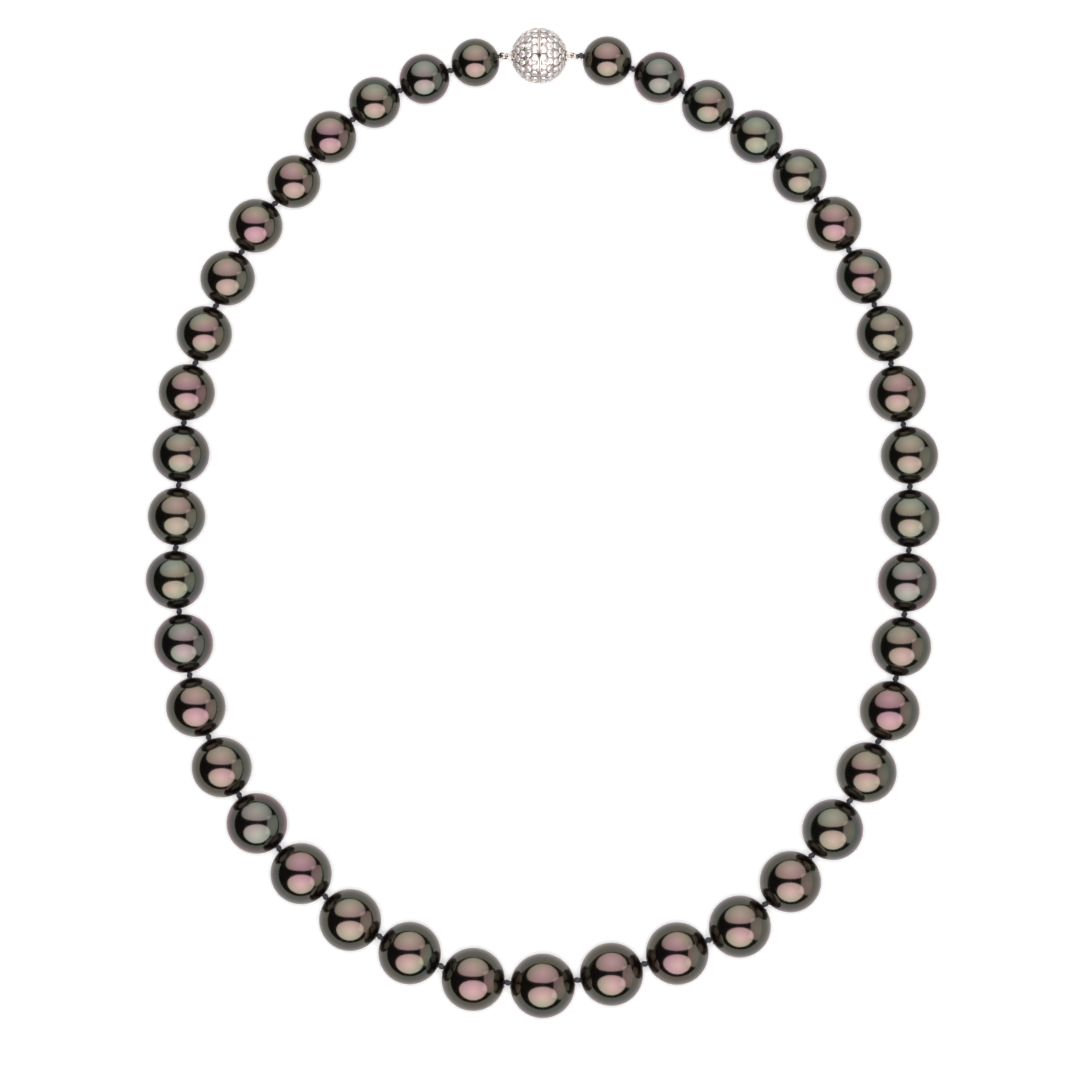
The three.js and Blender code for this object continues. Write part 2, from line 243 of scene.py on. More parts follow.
softbox("softbox_clasp_side", 49, 90, 0.75, 2.9, 1.62, 4.9)
softbox("softbox_near_side", 41, -90, 0.75, 2.1, 1.5, 7.6)
softbox("softbox_right", 65, -8, 1.3, 1.3, 0.95, 2.0, "RECTANGLE")

# %% Table light
TABLE_LIGHT_WIDTH = 0.5
TABLE_LIGHT_HEIGHT = 1.3
TABLE_RADIANCE = 19.0

lamp_data = bpy.data.lights.new("table_light", "AREA")
lamp_data.size = TABLE_LIGHT_WIDTH
lamp_data.energy = TABLE_RADIANCE * math.pi * TABLE_LIGHT_WIDTH**2
table_light = bpy.data.objects.new("table_light", lamp_data)
bpy.context.scene.collection.objects.link(table_light)
table_light.location = (0, 0, TABLE_LIGHT_HEIGHT)
table_light.visible_glossy = False
table_light.visible_transmission = False
table_light.visible_camera = False

# %% Surroundings
world = bpy.data.worlds.new("dark_studio")
bpy.context.scene.world = world
world.use_nodes = True
world.node_tree.nodes["Background"].inputs["Color"].default_value = linear("#202020")
world.node_tree.nodes["Background"].inputs["Strength"].default_value = 0.6

# %% Table
glowing_table = bpy.data.materials.new("glowing_white_table")
glowing_table.use_nodes = True
glowing_table.node_tree.nodes.clear()
tree = glowing_table.node_tree
place = add(tree, "ShaderNodeTexCoord").outputs["Object"]
mottle = add(tree, "ShaderNodeTexNoise", {"Vector": place, "Scale": 40.0, "Detail": 3.0})
shade = add(
    tree, "ShaderNodeMix", [mottle, linear("#eeeeee"), linear("#f3f3f3")], data_type="RGBA"
)
# The emission is painted light: the table glows with no lamp behind it, and that fills in the
# shadows round the pieces.
paint = add(
    tree,
    "ShaderNodeBsdfPrincipled",
    {
        "Base Color": shade,
        "Roughness": 0.9,
        "Specular IOR Level": 0.0,
        "Emission Color": linear("#ffffff"),
        "Emission Strength": 0.4,
    },
)
add(tree, "ShaderNodeOutputMaterial", [paint])

TABLE_HALF = 3.0
table_mesh = bpy.data.meshes.new("table")
corners = [(-1, -1), (1, -1), (1, 1), (-1, 1)]
table_mesh.from_pydata(
    [(x * TABLE_HALF, y * TABLE_HALF, -0.05 * MM) for x, y in corners], [], [(0, 1, 2, 3)]
)
table_mesh.materials.append(glowing_table)
table = bpy.data.objects.new("table", table_mesh)
bpy.context.scene.collection.objects.link(table)
print("table, m", 2 * TABLE_HALF, "across")

# %% [markdown]
# ## Geometry Nodes: start a tree, run a tree
#
# Each repeated shape below is a small Geometry Nodes tree with named inputs. `new_tree` starts
# one. `close_tree` ends it in Realize Instances and Set Material. `grow` runs it once and keeps
# the result as a plain mesh, so that no modifier is left on a finished piece. `finish_piece`
# joins such meshes into one object, hangs it on an empty for the body it rides on, and hides the
# imported parts that it stands for.

# %% Start, close and run a tree
SOCKETS = {
    int: "NodeSocketInt",
    float: "NodeSocketFloat",
    tuple: "NodeSocketVector",
    bpy.types.Material: "NodeSocketMaterial",
}


def new_tree(name, **defaults):
    """A tree and its input node. A default gives its socket's kind as well as its value."""
    tree = bpy.data.node_groups.new(name, "GeometryNodeTree")
    interface = tree.interface
    interface.new_socket("Geometry", in_out="OUTPUT", socket_type="NodeSocketGeometry")
    interface.new_socket("Geometry", in_out="INPUT", socket_type="NodeSocketGeometry")
    for label, value in defaults.items():
        kind = SOCKETS[type(value)]
        socket = interface.new_socket(label.replace("_", " "), in_out="INPUT", socket_type=kind)
        socket.default_value = value
    return tree, tree.nodes.new("NodeGroupInput").outputs


def close_tree(tree, geometry, material, smooth=True):
    shaded = add(tree, "GeometryNodeSetShadeSmooth", {"Geometry": geometry, "Shade Smooth": smooth})
    real = add(tree, "GeometryNodeRealizeInstances", [shaded])
    covered = add(tree, "GeometryNodeSetMaterial", {"Geometry": real, "Material": material})
    add(tree, "NodeGroupOutput", [covered])


def grow(tree, mesh=None, **values):
    """Runs a tree on a mesh, or on nothing, and returns what it makes as a plain mesh."""
    carrier = bpy.data.objects.new("carrier", mesh or bpy.data.meshes.new("carrier"))
    bpy.context.scene.collection.objects.link(carrier)
    modifier = carrier.modifiers.new("tree", "NODES")
    modifier.node_group = tree
    sockets = {
        item.name: item.identifier for item in tree.interface.items_tree if item.in_out == "INPUT"
    }
    for label, value in values.items():
        modifier[sockets[label.replace("_", " ")]] = value
    evaluated = carrier.evaluated_get(bpy.context.evaluated_depsgraph_get())
    grown = bpy.data.meshes.new_from_object(evaluated)
    carrier.modifiers.remove(modifier)
    bpy.data.objects.remove(carrier)
    return grown


def finish_piece(name, meshes, body, slot, *stands_for):
    """One object from several meshes, riding on a body of the frame."""
    points, faces, materials, looks = [], [], [], []
    for mesh in meshes:
        first = len(points)
        points += [vertex.co.copy() for vertex in mesh.vertices]
        for material in mesh.materials:
            if material not in materials:
                materials.append(material)
        for face in mesh.polygons:
            faces.append([first + corner for corner in face.vertices])
            looks.append((materials.index(mesh.materials[face.material_index]), face.use_smooth))
    joined = bpy.data.meshes.new(name)
    joined.from_pydata(points, [], faces)
    for material in materials:
        joined.materials.append(material)
    joined.polygons.foreach_set("material_index", [look[0] for look in looks])
    joined.polygons.foreach_set("use_smooth", [look[1] for look in looks])
    joined.update()
    made = bpy.data.objects.new(name, joined)
    bpy.context.scene.collection.objects.link(made)
    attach(made, body)
    if stands_for:
        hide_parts(*stands_for)
    return made


# %% [markdown]
# ## Nacre
#
# A pearl's skin is nacre: hundreds of films of aragonite, each thinner than a wave of light, laid
# over a dark pigmented layer. So it has three looks at once. The body is nearly black. The surface
# mirrors like varnish, softened a little by the films' edges. And each reflection takes a colour,
# the orient, which drifts across the pearl as the films' thickness does, from pink to green to
# bronze. One function makes the finish, and each overtone that the trade names is a call to it.

# %% Nacre as a function of its overtone
NACRE_IOR = 1.66  # aragonite, seen across its layers
FILM_IOR = 1.74
NACRE_ROUGHNESS = 0.12
DRIFT_MM = 6.5  # how far apart the drifts of colour are


def nacre(overtone, body, film_nm, drift_nm):
    """body is the layer below. The film that gives the orient is film_nm thick, more or less."""
    material = bpy.data.materials.new(f"nacre_{overtone}")
    material.use_nodes = True
    tree = material.node_tree
    tree.nodes.clear()
    place = add(tree, "ShaderNodeTexCoord").outputs["Object"]
    drift = add(
        tree, "ShaderNodeTexNoise", {"Vector": place, "Scale": 1 / (DRIFT_MM * MM), "Detail": 1.0}
    )
    film = add(
        tree,
        "ShaderNodeMapRange",
        [drift, 0.3, 0.7, film_nm - drift_nm, film_nm + drift_nm],
    )
    depth = add(
        tree,
        "ShaderNodeTexNoise",
        {"Vector": place, "Scale": 1 / (1.3 * MM), "Detail": 3.0},
    )
    pigment = add(
        tree, "ShaderNodeMix", [depth, linear(body), linear("#12100f")], data_type="RGBA"
    )
    skin = add(
        tree,
        "ShaderNodeBsdfPrincipled",
        {
            "Base Color": pigment,
            "Roughness": NACRE_ROUGHNESS,
            "IOR": NACRE_IOR,
            "Specular Tint": linear("#ffe5e3"),
            "Thin Film Thickness": film,
            "Thin Film IOR": FILM_IOR,
        },
    )
    add(tree, "ShaderNodeOutputMaterial", [skin])
    return material


OVERTONES = {
    "aubergine": nacre("aubergine", "#0d090a", 431, 20),
    "peacock": nacre("peacock", "#090c0a", 412, 22),
    "bronze": nacre("bronze", "#0d0a07", 424, 18),
    "pistachio": nacre("pistachio", "#0c0d08", 404, 16),
    "silver": nacre("silver", "#0b0b0b", 565, 18),
}
print("overtones", sorted(OVERTONES))

# %% [markdown]
# ## The pearls
#
# A pearl is round, but never quite: it has a slow swell of a few hundredths of a millimetre that
# bends its reflections. It could be a UV sphere with a hole cut through it, but a cut leaves long
# thin faces that a mirror finish shows. Here a flat grid is rolled up instead. One way across the
# grid runs round the drill hole. The other way runs from hole to hole over the outside and back
# through the bore, so that the skin and the bore are one even, closed surface.

# %% The pearl tree: roll a grid into a drilled ball
PEARL_SIDES = 80
SKIN_ROWS = 56
BORE_ROWS = 4
BORE_RADIUS = 0.5 * MM

pearl_tree, size = new_tree(
    "drilled pearl",
    Radius=0.005,
    Hole_Latitude=1.47,
    Unevenness=0.00002,
    Heading=(0.0, 0.0, 0.0),
    Centre=(0.0, 0.0, 0.0),
    Nacre=OVERTONES["silver"],
)
rows = SKIN_ROWS + BORE_ROWS
sheet = add(pearl_tree, "GeometryNodeMeshGrid", [1.0, 1.0, PEARL_SIDES + 1, rows + 1])
at = add(pearl_tree, "GeometryNodeInputPosition")
spot = add(pearl_tree, "ShaderNodeSeparateXYZ", [at])
skin_end = SKIN_ROWS / rows - 0.5
near_hole = add(
    pearl_tree, "ShaderNodeMath", [size["Hole Latitude"], -1.0], operation="MULTIPLY"
)
latitude = add(
    pearl_tree,
    "ShaderNodeMapRange",
    [spot.outputs["Y"], -0.5, skin_end, near_hole, size["Hole Latitude"]],
)
swing = add(pearl_tree, "ShaderNodeMapRange", [spot.outputs["Y"], skin_end, 0.5, 1.0, -1.0])
turn = add(pearl_tree, "ShaderNodeMath", [spot.outputs["X"], 2 * math.pi], operation="MULTIPLY")
rise = add(pearl_tree, "ShaderNodeMath", [latitude], operation="SINE")
along = add(pearl_tree, "ShaderNodeMath", [rise, swing], operation="MULTIPLY")
across = add(pearl_tree, "ShaderNodeMath", [latitude], operation="COSINE")
cosine = add(pearl_tree, "ShaderNodeMath", [turn], operation="COSINE")
sine = add(pearl_tree, "ShaderNodeMath", [turn], operation="SINE")
sideways = add(pearl_tree, "ShaderNodeMath", [across, cosine], operation="MULTIPLY")
upwards = add(pearl_tree, "ShaderNodeMath", [across, sine], operation="MULTIPLY")
unit_ball = add(pearl_tree, "ShaderNodeCombineXYZ", [along, sideways, upwards])
ball_point = add(
    pearl_tree,
    "ShaderNodeVectorMath",
    {"Vector": unit_ball, "Scale": size["Radius"]},
    operation="SCALE",
)
rolled = add(pearl_tree, "GeometryNodeSetPosition", {"Geometry": sheet, "Position": ball_point})
closed = add(pearl_tree, "GeometryNodeMergeByDistance", {"Geometry": rolled, "Distance": 1e-7})

# %% The pearl tree: make the ball a little uneven, then put it in its place
SWELL_MM = 3.5

shifted = add(pearl_tree, "ShaderNodeVectorMath", [at, size["Centre"]], operation="ADD")
swell = add(
    pearl_tree,
    "ShaderNodeTexNoise",
    {"Vector": shifted, "Scale": 1 / (SWELL_MM * MM), "Detail": 1.0},
)
about_zero = add(pearl_tree, "ShaderNodeMath", [swell, 0.5], operation="SUBTRACT")
height = add(
    pearl_tree, "ShaderNodeMath", [about_zero, size["Unevenness"]], operation="MULTIPLY"
)
outwards = add(pearl_tree, "GeometryNodeInputNormal")
lift = add(
    pearl_tree, "ShaderNodeVectorMath", {"Vector": outwards, "Scale": height}, operation="SCALE"
)
uneven = add(pearl_tree, "GeometryNodeSetPosition", {"Geometry": closed, "Offset": lift})
placed = add(
    pearl_tree,
    "GeometryNodeTransform",
    {"Geometry": uneven, "Translation": size["Centre"], "Rotation": size["Heading"]},
)
close_tree(pearl_tree, placed, size["Nacre"])

# %% [markdown]
# The strand was matched pearl by pearl, so neighbours seldom have quite the same overtone. Each
# pearl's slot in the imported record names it.

# %% Grow the forty-one pearls
slots = {part["node"]: part["material_slot"] for part in frame["record"]["subparts"]}


def heading(axis):
    """The turn that lays +X along an axis without rolling it."""
    return (0.0, -math.asin(axis.z / axis.length), math.atan2(axis.y, axis.x))


for node, centre, radius, axis in zip(STRAND, centres, radii, drill_axes):
    mesh = grow(
        pearl_tree,
        Radius=radius,
        Hole_Latitude=math.acos(BORE_RADIUS / radius),
        Centre=tuple(centre),
        Heading=heading(axis),
        Nacre=OVERTONES[slots[node].removeprefix("pearl_")],
    )
    finish_piece(f"drilled_{node}", [mesh], node, slots[node], node)
print("pearls", len(STRAND), "with", len(mesh.polygons), "faces each")

# %% [markdown]
# ## Silk thread and wire
#
# The pearls are strung on twisted silk, and the clasp's links are round wire. Both are one
# section carried along a path, so one tree makes both: it takes a path of edges, evens out its
# points, turns the section as it goes, and sweeps it. For silk the section has three lobes, one
# for each ply, and for wire it is round.

# %% Black silk
# Silk filaments lie side by side, so dyed silk is dark with a soft sheen along the twist.
silk = bpy.data.materials.new("dyed_black_silk")
silk.use_nodes = True
tree = silk.node_tree
tree.nodes.clear()
place = add(tree, "ShaderNodeTexCoord").outputs["Object"]
FILAMENT_MM = 0.05  # coarser than real filaments, which are too fine to show
fibres = add(
    tree, "ShaderNodeTexNoise", {"Vector": place, "Scale": 1 / (FILAMENT_MM * MM), "Detail": 2.0}
)
dye = add(tree, "ShaderNodeMix", [fibres, linear("#100e14"), linear("#2b2733")], data_type="RGBA")
relief = add(
    tree, "ShaderNodeBump", {"Height": fibres, "Strength": 0.4, "Distance": 0.02 * MM}
)
ply = add(
    tree,
    "ShaderNodeBsdfPrincipled",
    {
        "Base Color": dye,
        "Roughness": 0.6,
        "Sheen Weight": 0.25,
        "Sheen Roughness": 0.4,
        "Normal": relief,
    },
)
add(tree, "ShaderNodeOutputMaterial", [ply])

# %% Warm white gold
# Cast, filed and polished by hand, so its reflections are bright with a faint ripple.
white_gold = bpy.data.materials.new("polished_white_gold")
white_gold.use_nodes = True
tree = white_gold.node_tree
tree.nodes.clear()
place = add(tree, "ShaderNodeTexCoord").outputs["Object"]
RIPPLE_MM = 0.35
ripple = add(
    tree, "ShaderNodeTexNoise", {"Vector": place, "Scale": 1 / (RIPPLE_MM * MM), "Detail": 2.0}
)
tone = add(
    tree, "ShaderNodeMix", [ripple, linear("#867972"), linear("#aa9d95")], data_type="RGBA"
)
polish = add(
    tree, "ShaderNodeMapRange", {"Value": ripple, "To Min": 0.14, "To Max": 0.26}
)
hammer = add(
    tree, "ShaderNodeBump", {"Height": ripple, "Strength": 0.25, "Distance": 0.03 * MM}
)
metal = add(
    tree,
    "ShaderNodeBsdfPrincipled",
    {"Base Color": tone, "Metallic": 1.0, "Roughness": polish, "Normal": hammer},
)
add(tree, "ShaderNodeOutputMaterial", [metal])

# %% The strand tree: sweep a lobed section along a path
strand_tree, size = new_tree(
    "swept strand",
    Radius=0.00025,
    Lobe_Depth=0.12,
    Turns=2.0,
    Step=0.0001,
    Sides=12,
    Material=silk,
)
path = add(strand_tree, "GeometryNodeMeshToCurve", [size["Geometry"]])
even = add(
    strand_tree, "GeometryNodeResampleCurve", {"Curve": path, "Length": size["Step"]}, mode="LENGTH"
)
progress = add(strand_tree, "GeometryNodeSplineParameter")
twist = add(strand_tree, "ShaderNodeMath", [progress, size["Turns"]], operation="MULTIPLY")
twist = add(strand_tree, "ShaderNodeMath", [twist, 2 * math.pi], operation="MULTIPLY")
twisted = add(strand_tree, "GeometryNodeSetCurveTilt", {"Curve": even, "Tilt": twist})

section = add(
    strand_tree,
    "GeometryNodeCurvePrimitiveCircle",
    {"Resolution": size["Sides"], "Radius": size["Radius"]},
)
section_progress = add(strand_tree, "GeometryNodeSplineParameter")
lobes = add(
    strand_tree, "ShaderNodeMath", [section_progress, 6 * math.pi], operation="MULTIPLY"
)
lobes = add(strand_tree, "ShaderNodeMath", [lobes], operation="COSINE")
swollen = add(
    strand_tree,
    "ShaderNodeMath",
    [lobes, size["Lobe Depth"], 1.0],
    operation="MULTIPLY_ADD",
)
section_at = add(strand_tree, "GeometryNodeInputPosition")
lobed_at = add(
    strand_tree, "ShaderNodeVectorMath", {"Vector": section_at, "Scale": swollen}, operation="SCALE"
)
lobed = add(strand_tree, "GeometryNodeSetPosition", {"Geometry": section, "Position": lobed_at})
swept = add(
    strand_tree,
    "GeometryNodeCurveToMesh",
    {"Curve": twisted, "Profile Curve": lobed, "Fill Caps": True},
)
close_tree(strand_tree, swept, size["Material"])


def path_of(points, closed=False):
    """A chain of edges through some points, for the strand tree."""
    edges = [(index, index + 1) for index in range(len(points) - 1)]
    if closed:
        edges.append((len(points) - 1, 0))
    mesh = bpy.data.meshes.new("path")
    mesh.from_pydata(points, edges, [])
    return mesh


# %% [markdown]
# ## Knots
#
# A stringer ties one overhand knot after each pearl, so that a broken thread loses only one, and
# the pearls never rub. An overhand knot pulled tight is a trefoil, so its path is the trefoil
# curve, squeezed along the strand to fill the gap. Thread runs through the knot's middle into
# the drill holes. A knot rides on the pearl nearer the clasp, and a pearl carries the thread
# in its own hole, so that the strand bends at its knots.

# %% Knot paths
THREAD_RADIUS = 0.25 * MM
KNOT_WIDTH = 1.15 * MM
KNOT_STRAND = 0.19 * MM
TWIST_MM = 0.9  # one full turn of the plies


def frame_along(axis):
    """A matrix whose X is an axis, with Y level."""
    x = axis.normalized()
    y = Vector((0, 0, 1)).cross(x).normalized()
    return Matrix((x, y, x.cross(y))).transposed()


def knot_path(middle, axis, gap):
    across = (KNOT_WIDTH / 2 - KNOT_STRAND) / 3
    thick = max(gap / 2 - KNOT_STRAND, 0.12 * MM)
    turned = frame_along(axis)
    points = []
    for step in range(48):
        t = 2 * math.pi * step / 48
        y = math.sin(t) + 2 * math.sin(2 * t)
        z = math.cos(t) - 2 * math.cos(2 * t)
        points.append(middle + turned @ Vector((-thick * math.sin(3 * t), across * y, across * z)))
    return path_of(points, closed=True)


def silk_strand(points, radius, closed=False):
    length = sum((b - a).length for a, b in zip(points, points[1:]))
    return grow(
        strand_tree, path_of(points, closed), Radius=radius, Turns=length / (TWIST_MM * MM)
    )


def knot(middle, axis, gap):
    tied = grow(strand_tree, knot_path(middle, axis, gap), Radius=KNOT_STRAND, Turns=4.0)
    core = silk_strand([middle - axis * gap / 2, middle + axis * gap / 2], 0.33 * MM)
    return [tied, core]


# %% Thread in the holes, and the knots
silk_parts = {node: [] for node in STRAND}
for index, (node, centre, radius, axis) in enumerate(zip(STRAND, centres, radii, drill_axes)):
    reach = axis * (radius + 0.05 * MM)
    silk_parts[node].append(silk_strand([centre - reach, centre + reach], THREAD_RADIUS))
for index, (middle, gap) in enumerate(zip(knots, gaps)):
    axis = (centres[index + 1] - centres[index]).normalized()
    nearer = STRAND[index] if index < PER_SIDE else STRAND[index + 1]
    silk_parts[nearer] += knot(middle, axis, gap)
print("knots", len(knots))

# %% [markdown]
# At each end the thread comes out of the last pearl, goes round the jump ring and back into the
# hole. On the right, where the gap is longer, one more knot sits between the ring and the pearl.

# %% Loops round the jump rings
LOOP_THREAD = 0.12 * MM
loop_half = RING_WIRE + LOOP_THREAD + LINK_CLEARANCE


def loop_path(side, centre, radius, axis):
    start = thread_ends[side]
    across = Vector((0, side * math.cos(LINK_TILT), math.sin(LINK_TILT)))
    root = centre + axis * (side * (radius - 0.5 * MM))
    points = [root - across * THREAD_RADIUS / 2]
    for degrees in range(-90, 91, 15):
        angle = math.radians(degrees)
        outward = Vector((side, 0, 0)) * (-loop_half * math.cos(angle))
        points.append(start + outward + across * (loop_half * math.sin(angle)))
    return points + [root + across * THREAD_RADIUS / 2]


for side, index in ((LEFT, 0), (RIGHT, -1)):
    loop = loop_path(side, centres[index], radii[index], drill_axes[index])
    silk_parts[STRAND[index]].append(silk_strand(loop, LOOP_THREAD))

pearl_side = centres[-1] + drill_axes[-1] * radii[-1]
ring_side = thread_ends[RIGHT] - drill_axes[-1] * RING_WIRE
silk_parts[STRAND[-1]] += knot(
    pearl_side.lerp(ring_side, 0.5), drill_axes[-1], (ring_side - pearl_side).length
)

for node, parts in silk_parts.items():
    finish_piece(f"silk_at_{node}", parts, node, "black_silk", "silk_thread")
print("silk pieces", len(silk_parts))

# %% [markdown]
# ## The clasp's shells
#
# The clasp is a ball in two halves. Each is a cast shell with a plain polished rim at the seam
# and a small plain collar at its pole, and its skin between them is sunk a little, so that the
# stones can stand in it. A shell is the same all round the clasp's axis, so it is turned as on a
# lathe: an outline of distances along and from the axis is carried round, and closed on the axis.

# %% A lathe
LATHE_SIDES = 64


def turned_on_lathe(name, outline, side, material, sides=LATHE_SIDES):
    """outline is (from the axis, along the axis) in metres, anticlockwise, from axis to axis."""
    points, faces, rings = [], [], []
    for out, along in outline:
        if out < 1e-9:
            rings.append([len(points)] * sides)
            points.append(on_side(side, (along, 0, 0)))
            continue
        rings.append(list(range(len(points), len(points) + sides)))
        for step in range(sides):
            angle = 2 * math.pi * step / sides
            points.append(on_side(side, (along, out * math.cos(angle), out * math.sin(angle))))
    for ring, after in zip(rings, rings[1:]):
        for step in range(sides):
            onwards = (step + 1) % sides
            face = [ring[step], ring[onwards], after[onwards], after[step]]
            faces.append(list(dict.fromkeys(face)))
    mesh = bpy.data.meshes.new(name)
    mesh.from_pydata(points, [], faces)
    mesh.materials.append(material)
    mesh.polygons.foreach_set("use_smooth", [True] * len(faces))
    return mesh


# %% The shells' outline
SEAM_HALF = 0.05 * MM
RIM_WIDTH = 0.26 * MM
RIM_RADIUS = BALL_RADIUS - 0.03 * MM
BED_RADIUS = BALL_RADIUS - 0.2 * MM  # where the stones stand
WALL = 0.7 * MM
COLLAR_RADIUS = 0.9 * MM
COLLAR_BACK = COLLAR_FACE - 0.35 * MM


def arc(radius, start, end, steps):
    return [
        (radius * math.cos(start + (end - start) * step / steps),
         radius * math.sin(start + (end - start) * step / steps))
        for step in range(steps + 1)
    ]


inside = BALL_RADIUS - WALL
rim_edge = math.asin((SEAM_HALF + RIM_WIDTH) / BED_RADIUS)
bed_end = math.acos((COLLAR_RADIUS - 0.05 * MM) / BED_RADIUS)
shell_outline = (
    [(0, inside)]
    + arc(inside, math.pi / 2 - 0.02, math.asin(SEAM_HALF / inside), 14)
    + [(RIM_RADIUS - 0.06 * MM, SEAM_HALF), (RIM_RADIUS, SEAM_HALF + 0.05 * MM)]
    + [(RIM_RADIUS, SEAM_HALF + RIM_WIDTH - 0.05 * MM)]
    + [(RIM_RADIUS - 0.05 * MM, SEAM_HALF + RIM_WIDTH)]
    + arc(BED_RADIUS, rim_edge, bed_end, 24)
    + [(COLLAR_RADIUS, COLLAR_BACK), (COLLAR_RADIUS, COLLAR_FACE - 0.08 * MM)]
    + [(COLLAR_RADIUS - 0.08 * MM, COLLAR_FACE), (0, COLLAR_FACE)]
)
print("shell outline points", len(shell_outline))

# %% [markdown]
# ## Pavé
#
# The shells are paved: rows of small round brilliants stand side by side all the way round, each
# row half a step on from the last, and beads of metal are raised between them to hold them down.
# A row is one shape repeated round a circle of latitude, which is what Geometry Nodes do best:
# the tree takes the shape, and places copies of it that all face away from the ball's centre.

# %% Brilliant-cut stones
# Clear colourless stones, their base colour painted in cells of bright and grey: a painted glint
# that stands in for the reflection that each facet takes.
stone = bpy.data.materials.new("brilliant_cut_diamond")
stone.use_nodes = True
tree = stone.node_tree
tree.nodes.clear()
place = add(tree, "ShaderNodeTexCoord").outputs["Object"]
PAINTED_GLINT_MM = 0.28
# Painted glint: random cells of bright and grey base colour in place of the facets' reflections.
painted_glint_cells = add(
    tree, "ShaderNodeTexVoronoi", {"Vector": place, "Scale": 1 / (PAINTED_GLINT_MM * MM)}
)
painted_glint_level = add(tree, "ShaderNodeSeparateColor", [painted_glint_cells.outputs["Color"]])
painted_glint_colour = add(
    tree, "ShaderNodeMix", [painted_glint_level, linear("#a09491"), linear("#fbf2ee")], data_type="RGBA"
)
facet = add(
    tree,
    "ShaderNodeBsdfPrincipled",
    {"Base Color": painted_glint_colour, "Roughness": 0.04, "IOR": 2.42},
)
add(tree, "ShaderNodeOutputMaterial", [facet])

# %% The row tree: copies of a shape round a circle of latitude
row_tree, size = new_tree(
    "row of settings",
    Count=19,
    Row_Radius=0.004,
    Along=0.001,
    Phase=(0.0, 0.0, 0.0),
    Scale=1.0,
    Lean=0.06,
    Seed=1,
    Material=stone,
)
circle = add(
    row_tree,
    "GeometryNodeMeshCircle",
    {"Vertices": size["Count"], "Radius": size["Row Radius"]},
)
upright = add(
    row_tree,
    "GeometryNodeTransform",
    {"Geometry": circle, "Rotation": (0.0, math.pi / 2, 0.0)},
)
forward = add(row_tree, "ShaderNodeCombineXYZ", [size["Along"]])
row = add(
    row_tree,
    "GeometryNodeTransform",
    {"Geometry": upright, "Translation": forward, "Rotation": size["Phase"]},
)
seat = add(row_tree, "GeometryNodeInputPosition")
outwards = add(row_tree, "FunctionNodeAlignRotationToVector", {"Vector": seat}, axis="Z")
most = add(row_tree, "ShaderNodeCombineXYZ", [size["Lean"], size["Lean"], math.pi])
least = add(row_tree, "ShaderNodeVectorMath", {"Vector": most, "Scale": -1.0}, operation="SCALE")
by_hand = add(
    row_tree,
    "FunctionNodeRandomValue",
    {"Min": least, "Max": most, "Seed": size["Seed"]},
    data_type="FLOAT_VECTOR",
)
facing = add(row_tree, "FunctionNodeRotateRotation", [outwards, by_hand], rotation_space="LOCAL")
settings = add(
    row_tree,
    "GeometryNodeInstanceOnPoints",
    {"Points": row, "Instance": size["Geometry"], "Rotation": facing, "Scale": size["Scale"]},
)
close_tree(row_tree, settings, size["Material"], smooth=False)

# %% A brilliant: a table, a crown, and a pavilion below the girdle
STONE_RADIUS = 0.69 * MM


def brilliant():
    """A round brilliant of unit radius, its girdle at z = 0, with a 57% table."""
    points, faces = [], []
    sides = 8
    for out, height, shift in ((0.57, 0.32, 0), (0.80, 0.19, 0.5), (1.0, 0.03, 0), (1.0, -0.03, 0)):
        for step in range(sides):
            angle = 2 * math.pi * (step + shift) / sides
            points.append((out * math.cos(angle), out * math.sin(angle), height))
    points.append((0, 0, -0.55))
    top, kite, girdle, below = (list(range(start, start + sides)) for start in (0, 8, 16, 24))
    faces.append(top)
    for step in range(sides):
        onwards = (step + 1) % sides
        faces.append([top[step], kite[step], top[onwards]])
        faces.append([top[step], kite[step - 1], girdle[step], kite[step]])
        faces.append([kite[step], girdle[step], girdle[onwards]])
        faces.append([girdle[step], below[step], below[onwards], girdle[onwards]])
        faces.append([below[step], 32, below[onwards]])
    mesh = bpy.data.meshes.new("brilliant")
    mesh.from_pydata(points, [], faces)
    return mesh


def bead():
    """A raised bead of unit radius."""
    points = [(0, 0, 1)]
    for out, height in ((0.7, 0.7), (1.0, 0.0), (1.0, -0.8)):
        for step in range(6):
            angle = 2 * math.pi * step / 6
            points.append((out * math.cos(angle), out * math.sin(angle), height))
    points.append((0, 0, -0.8))
    faces = []
    for step in range(6):
        onwards = (step + 1) % 6
        faces.append([0, 1 + step, 1 + onwards])
        for ring in (1, 7):
            faces.append([ring + step, ring + 6 + step, ring + 6 + onwards, ring + onwards])
        faces.append([13 + step, 19, 13 + onwards])
    mesh = bpy.data.meshes.new("bead")
    mesh.from_pydata(points, [], faces)
    return mesh


# %% Rows of stones and beads
# Latitude in degrees, stones in the row, and the stones' size beside the largest.
STONE_ROWS = [(9.6, 19, 1.0), (25.0, 19, 0.96), (40.0, 16, 0.94), (54.0, 12, 0.92), (67.0, 8, 0.88)]
BEAD_RADIUS = 0.14 * MM
GIRDLE_RADIUS = BALL_RADIUS - 0.17 * MM


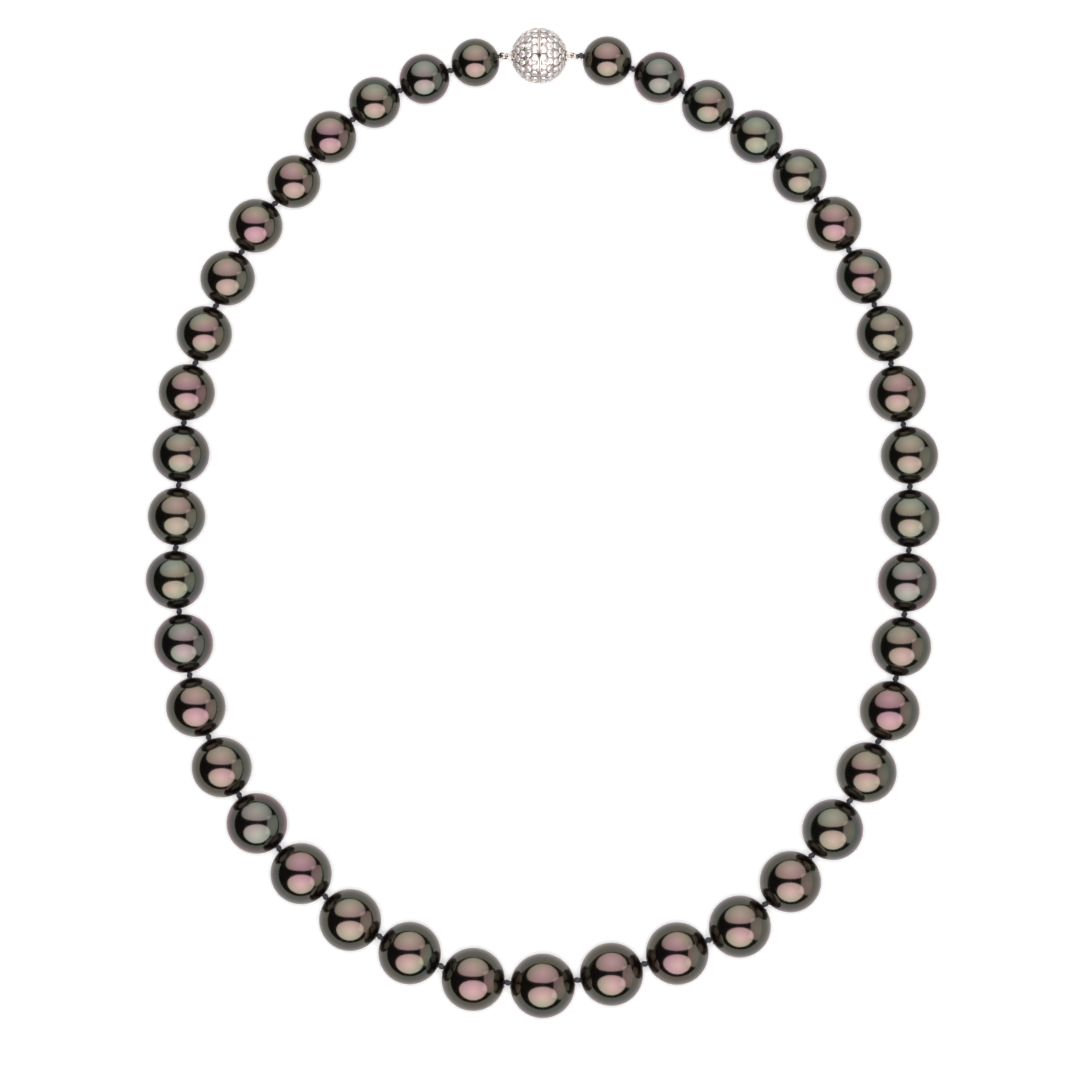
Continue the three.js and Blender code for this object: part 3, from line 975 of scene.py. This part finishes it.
def paved(side):
    """One shell's stones, and its beads."""
    stones, beads = [], []
    for order, (latitude, count, share) in enumerate(STONE_ROWS):
        angle = math.radians(latitude)
        phase = math.pi / count * (order % 2)
        stones.append(
            grow(
                row_tree,
                brilliant(),
                Count=count,
                Row_Radius=GIRDLE_RADIUS * math.cos(angle),
                Along=GIRDLE_RADIUS * math.sin(angle),
                Phase=(phase, 0.0, 0.0),
                Scale=STONE_RADIUS * share,
                Seed=order + 10 * (side > 0),
                Material=stone,
            )
        )
        for offset in (-5.6, 5.6):
            lean = math.radians(latitude + offset)
            beads.append(
                grow(
                    row_tree,
                    bead(),
                    Count=count,
                    Row_Radius=GIRDLE_RADIUS * math.cos(lean),
                    Along=GIRDLE_RADIUS * math.sin(lean),
                    Phase=(phase + math.pi / count, 0.0, 0.0),
                    Scale=BEAD_RADIUS,
                    Lean=0.0,
                    Material=white_gold,
                )
            )
    for mesh in stones + beads:
        mesh.transform(Matrix.Rotation(0 if side > 0 else math.pi, 4, "Z"))
        mesh.transform(Matrix.Translation(BALL_CENTRE))
    return stones, beads


for side, name in ((LEFT, "left"), (RIGHT, "right")):
    half = f"clasp_{name}_half"
    stones, beads = paved(side)
    shell = turned_on_lathe(f"shell_{name}", shell_outline, side, white_gold)
    finish_piece(f"beaded_shell_{name}", [shell] + beads, half, "white_gold", f"clasp_shell_{name}")
    paving = finish_piece(f"pave_stones_{name}", stones, half, "clear_diamond")
    print(paving.name, len(paving.data.polygons), "faces")

# %% [markdown]
# ## Eyelets and jump rings
#
# Each half has a wire eyelet on its collar, and a jump ring is hooked through it. Both are
# smooth round wire, swept by the same tree as the silk, but with no lobes.


# %% Eyelets and rings
POLISHED_OFF = 0.01 * MM  # polishing leaves the wires this much slimmer, and freer to turn


def wire(points, radius, closed=False):
    return grow(
        strand_tree,
        path_of(points, closed),
        Radius=radius - POLISHED_OFF,
        Lobe_Depth=0.0,
        Turns=0.0,
        Step=0.06 * MM,
        Sides=14,
        Material=white_gold,
    )


for side, name in ((LEFT, "left"), (RIGHT, "right")):
    tilt = Matrix.Rotation(LINK_TILT, 3, "X")
    bend = CROWN - EYELET_HALF_WIDTH
    flat = [Vector((COLLAR_FACE - 0.1 * MM, -EYELET_HALF_WIDTH, 0))]
    for degrees in range(-90, 91, 10):
        angle = math.radians(degrees)
        around = Vector((math.cos(angle), math.sin(angle), 0)) * EYELET_HALF_WIDTH
        flat.append(Vector((bend, 0, 0)) + around)
    flat.append(Vector((COLLAR_FACE - 0.1 * MM, EYELET_HALF_WIDTH, 0)))
    eyelet = wire([on_side(side, tilt @ point) for point in flat], EYELET_WIRE)
    finish_piece(
        f"wire_eyelet_{name}", [eyelet], f"clasp_{name}_half", "white_gold", f"eyelet_{name}"
    )

    square = Matrix.Rotation(LINK_TILT + math.pi / 2, 3, "X")
    dipped = Matrix.Rotation(dips[side], 3, "Y")
    ring = []
    for degrees in range(0, 360, 10):
        angle = math.radians(degrees)
        around = square @ Vector((math.cos(angle), math.sin(angle), 0)) * RING_RADIUS
        hung = dipped @ (around + Vector((RING_RADIUS - RING_HANG, 0, 0)))
        ring.append(on_side(side, hung + Vector((CROWN, 0, 0))))
    finish_piece(
        f"wire_jump_ring_{name}",
        [wire(ring, RING_WIRE, closed=True)],
        f"jump_ring_{name}",
        "white_gold",
        f"jump_ring_{name}",
    )

# %% [markdown]
# ## Inside the clasp
#
# A post with two lugs goes through the keyhole in the other half's plate, and a twist locks it.
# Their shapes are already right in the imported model, so these two keep their meshes, and only
# take the polished gold.

# %% Gold for the post and the plate
for node in ("clasp_keyhole_plate", "clasp_bayonet_post"):
    for slot in frame["nodes"][node].material_slots:
        slot.material = white_gold
